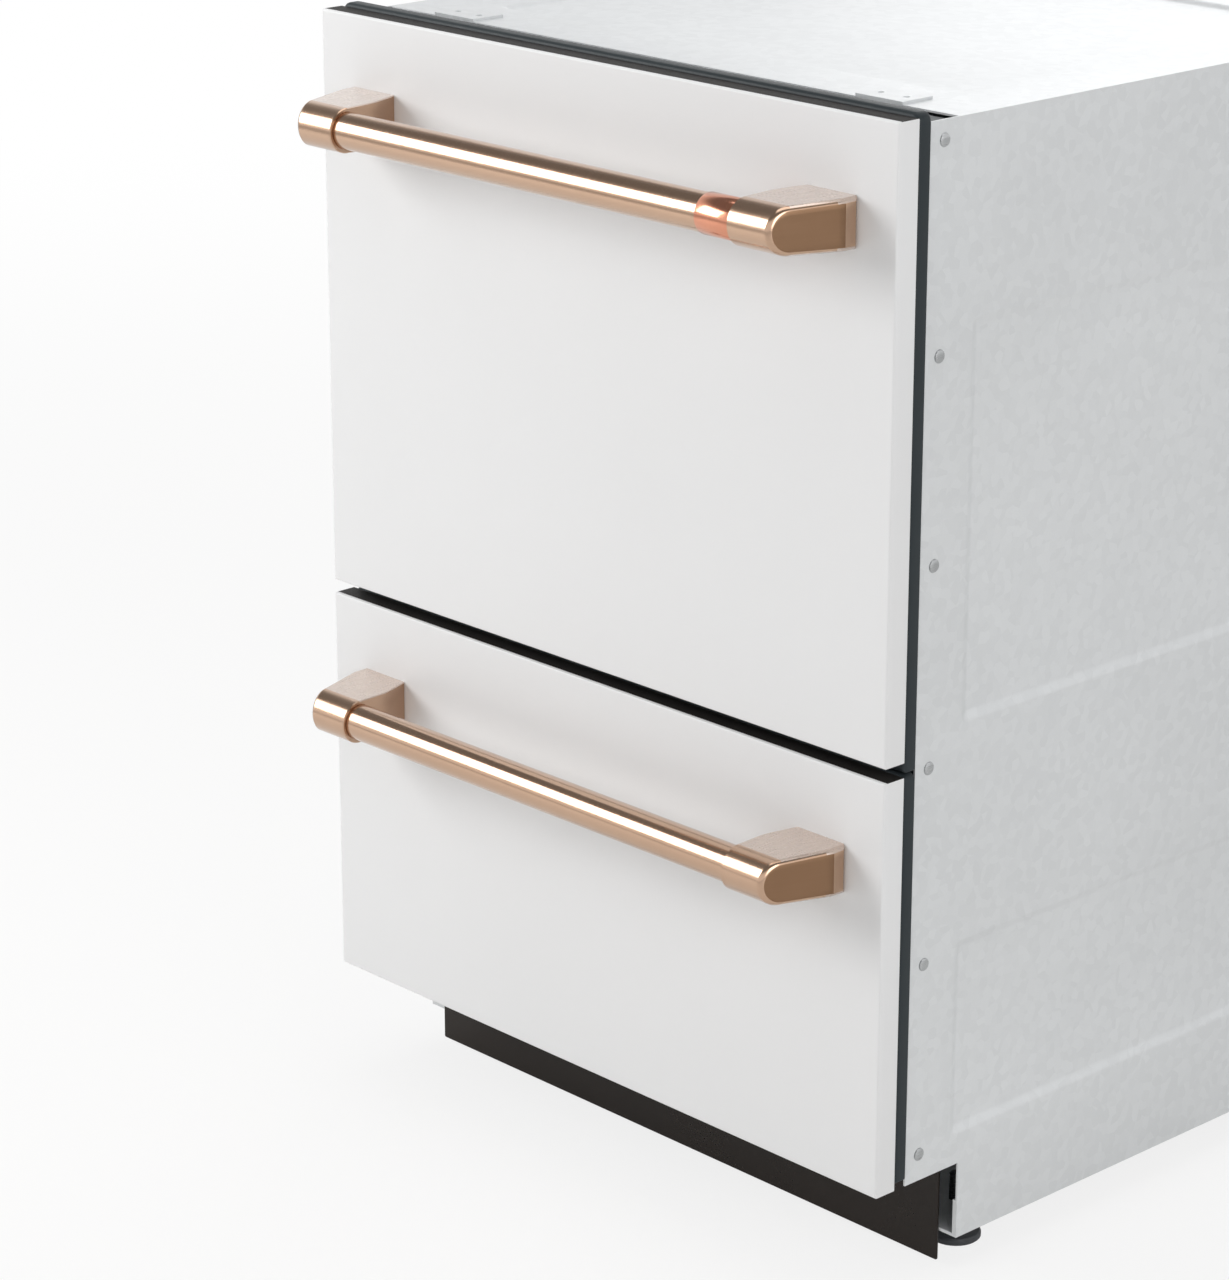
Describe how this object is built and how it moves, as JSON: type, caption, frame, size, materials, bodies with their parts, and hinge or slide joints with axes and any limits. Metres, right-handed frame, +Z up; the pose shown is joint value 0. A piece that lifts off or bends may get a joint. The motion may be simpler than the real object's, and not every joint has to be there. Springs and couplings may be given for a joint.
{
  "type": "double drawer dishwasher",
  "caption": "Built-in dishwasher with an upper and a lower pull-out drawer, matte white fronts and round bar handles in brushed bronze.",
  "frame": {"origin": "on the floor, under the middle of the whole appliance's box", "axes": "+Z up; the drawers open towards -Y; +X to the right seen from the front"},
  "size_m": [0.598, 0.644, 0.876],
  "materials": {
    "white_panel": "matte powder coat",
    "dark_door": "satin",
    "bronze": "brushed",
    "copper": "polished",
    "galvanised": "galvanised",
    "kick_black": "matte",
    "tub_grey": "moulded",
    "rack_grey": "nylon coated",
    "stainless": "satin",
    "pump_black": "moulded",
    "seal_rubber": "matte",
    "foot_grey": "moulded",
    "button_grey": "gloss",
    "valve_white": "moulded"
  },
  "bodies": {
    "chassis": {"side_panel_left": "galvanised", "side_panel_right": "galvanised", "back_panel": "galvanised", "top_panel": "galvanised", "base_tray": "galvanised", "middle_brace": "galvanised", "outer_rails": "galvanised", "mounting_brackets": "galvanised", "chassis_screws": "galvanised", "lid_guides": "galvanised", "toe_kick": "kick_black", "inlet_valve": "valve_white", "drain_spigot": "valve_white"},
    "upper_drawer": {"upper_front_panel": "white_panel", "upper_inner_door": "dark_door", "upper_control_strip": "dark_door", "upper_handle_bar": "bronze", "upper_handle_brackets": "bronze", "upper_tub": "tub_grey", "upper_inner_rails": "stainless", "upper_rack": "rack_grey", "upper_wash_pump": "pump_black", "upper_dispenser": "tub_grey", "upper_handle_band": "copper"},
    "upper_middle_slides": {"upper_middle_rails": "stainless"},
    "upper_lid": {"upper_lid": "tub_grey", "upper_lid_seal": "seal_rubber"},
    "upper_tines": {"upper_folding_tines": "rack_grey"},
    "upper_spray_arm": {"upper_spray_arm": "rack_grey"},
    "upper_filter": {"upper_filter_plate": "stainless"},
    "upper_impeller": {"upper_impeller": "pump_black"},
    "upper_dispenser_slide": {"upper_dispenser_door": "rack_grey"},
    "upper_power_button": {"upper_power_button": "button_grey"},
    "upper_start_button": {"upper_start_button": "button_grey"},
    "upper_shelf": {"upper_cup_shelf": "rack_grey"},
    "lower_drawer": {"lower_front_panel": "white_panel", "lower_inner_door": "dark_door", "lower_control_strip": "dark_door", "lower_handle_bar": "bronze", "lower_handle_brackets": "bronze", "lower_tub": "tub_grey", "lower_inner_rails": "stainless", "lower_rack": "rack_grey", "lower_wash_pump": "pump_black", "lower_dispenser": "tub_grey", "lower_cutlery_basket": "rack_grey"},
    "lower_middle_slides": {"lower_middle_rails": "stainless"},
    "lower_lid": {"lower_lid": "tub_grey", "lower_lid_seal": "seal_rubber"},
    "lower_tines": {"lower_folding_tines": "rack_grey"},
    "lower_spray_arm": {"lower_spray_arm": "rack_grey"},
    "lower_filter": {"lower_filter_plate": "stainless"},
    "lower_impeller": {"lower_impeller": "pump_black"},
    "lower_dispenser_slide": {"lower_dispenser_door": "rack_grey"},
    "lower_power_button": {"lower_power_button": "button_grey"},
    "lower_start_button": {"lower_start_button": "button_grey"},
    "foot_front_left": {"foot_front_left": "foot_grey"},
    "foot_front_right": {"foot_front_right": "foot_grey"},
    "foot_back_left": {"foot_back_left": "foot_grey"},
    "foot_back_right": {"foot_back_right": "foot_grey"}
  },
  "joints": [
    {"name": "upper_drawer_slide", "type": "slide", "parent": "chassis", "child": "upper_drawer", "axis": [0, -1, 0], "range_m": [0, 0.5]},
    {"name": "upper_middle_slide", "type": "slide", "parent": "chassis", "child": "upper_middle_slides", "axis": [0, -1, 0], "range_m": [0, 0.25]},
    {"name": "upper_lid_lower", "type": "slide", "parent": "chassis", "child": "upper_lid", "axis": [0, 0, -1], "range_m": [0, 0.0055], "stiffness_N_per_m": 2500, "springref_m": -0.02},
    {"name": "upper_arm_spin", "type": "hinge", "parent": "upper_drawer", "child": "upper_spray_arm", "pos_m": [0, 0.0365, 0.54], "axis": [0, 0, 1], "continuous": true},
    {"name": "upper_impeller_spin", "type": "hinge", "parent": "upper_drawer", "child": "upper_impeller", "pos_m": [0, 0.0365, 0.47], "axis": [0, 0, 1], "continuous": true},
    {"name": "upper_filter_turn", "type": "hinge", "parent": "upper_drawer", "child": "upper_filter", "pos_m": [0, 0.0365, 0.52], "axis": [0, 0, 1], "range_deg": [0, 40]},
    {"name": "upper_tines_fold", "type": "hinge", "parent": "upper_drawer", "child": "upper_tines", "pos_m": [0, 0.016, 0.577], "axis": [-1, 0, 0], "range_deg": [0, 80]},
    {"name": "upper_shelf_lift", "type": "hinge", "parent": "upper_drawer", "child": "upper_shelf", "pos_m": [0.232, 0.0465, 0.665], "axis": [0, 1, 0], "range_deg": [0, 90]},
    {"name": "upper_dispenser_open", "type": "slide", "parent": "upper_drawer", "child": "upper_dispenser_slide", "axis": [1, 0, 0], "range_m": [0, 0.07]},
    {"name": "upper_power_press", "type": "slide", "parent": "upper_drawer", "child": "upper_power_button", "axis": [0, 0, -1], "range_m": [0, 0.0012], "stiffness_N_per_m": 400},
    {"name": "upper_start_press", "type": "slide", "parent": "upper_drawer", "child": "upper_start_button", "axis": [0, 0, -1], "range_m": [0, 0.0012], "stiffness_N_per_m": 400},
    {"name": "lower_drawer_slide", "type": "slide", "parent": "chassis", "child": "lower_drawer", "axis": [0, -1, 0], "range_m": [0, 0.5]},
    {"name": "lower_middle_slide", "type": "slide", "parent": "chassis", "child": "lower_middle_slides", "axis": [0, -1, 0], "range_m": [0, 0.25]},
    {"name": "lower_lid_lower", "type": "slide", "parent": "chassis", "child": "lower_lid", "axis": [0, 0, -1], "range_m": [0, 0.0055], "stiffness_N_per_m": 2500, "springref_m": -0.02},
    {"name": "lower_arm_spin", "type": "hinge", "parent": "lower_drawer", "child": "lower_spray_arm", "pos_m": [0, 0.0365, 0.2], "axis": [0, 0, 1], "continuous": true},
    {"name": "lower_impeller_spin", "type": "hinge", "parent": "lower_drawer", "child": "lower_impeller", "pos_m": [0, 0.0365, 0.13], "axis": [0, 0, 1], "continuous": true},
    {"name": "lower_filter_turn", "type": "hinge", "parent": "lower_drawer", "child": "lower_filter", "pos_m": [0, 0.0365, 0.18], "axis": [0, 0, 1], "range_deg": [0, 40]},
    {"name": "lower_tines_fold", "type": "hinge", "parent": "lower_drawer", "child": "lower_tines", "pos_m": [0, 0.016, 0.237], "axis": [-1, 0, 0], "range_deg": [0, 80]},
    {"name": "lower_dispenser_open", "type": "slide", "parent": "lower_drawer", "child": "lower_dispenser_slide", "axis": [1, 0, 0], "range_m": [0, 0.07]},
    {"name": "lower_power_press", "type": "slide", "parent": "lower_drawer", "child": "lower_power_button", "axis": [0, 0, -1], "range_m": [0, 0.0012], "stiffness_N_per_m": 400},
    {"name": "lower_start_press", "type": "slide", "parent": "lower_drawer", "child": "lower_start_button", "axis": [0, 0, -1], "range_m": [0, 0.0012], "stiffness_N_per_m": 400},
    {"name": "foot_front_left_turn_out", "type": "slide", "parent": "chassis", "child": "foot_front_left", "axis": [0, 0, -1], "range_m": [0, 0.02]},
    {"name": "foot_front_right_turn_out", "type": "slide", "parent": "chassis", "child": "foot_front_right", "axis": [0, 0, -1], "range_m": [0, 0.02]},
    {"name": "foot_back_left_turn_out", "type": "slide", "parent": "chassis", "child": "foot_back_left", "axis": [0, 0, -1], "range_m": [0, 0.02]},
    {"name": "foot_back_right_turn_out", "type": "slide", "parent": "chassis", "child": "foot_back_right", "axis": [0, 0, -1], "range_m": [0, 0.02]}
  ],
  "couplings": [
    {"joint": "upper_middle_slide", "follows": "upper_drawer_slide", "ratio": 0.5},
    {"joint": "lower_middle_slide", "follows": "lower_drawer_slide", "ratio": 0.5}
  ]
}
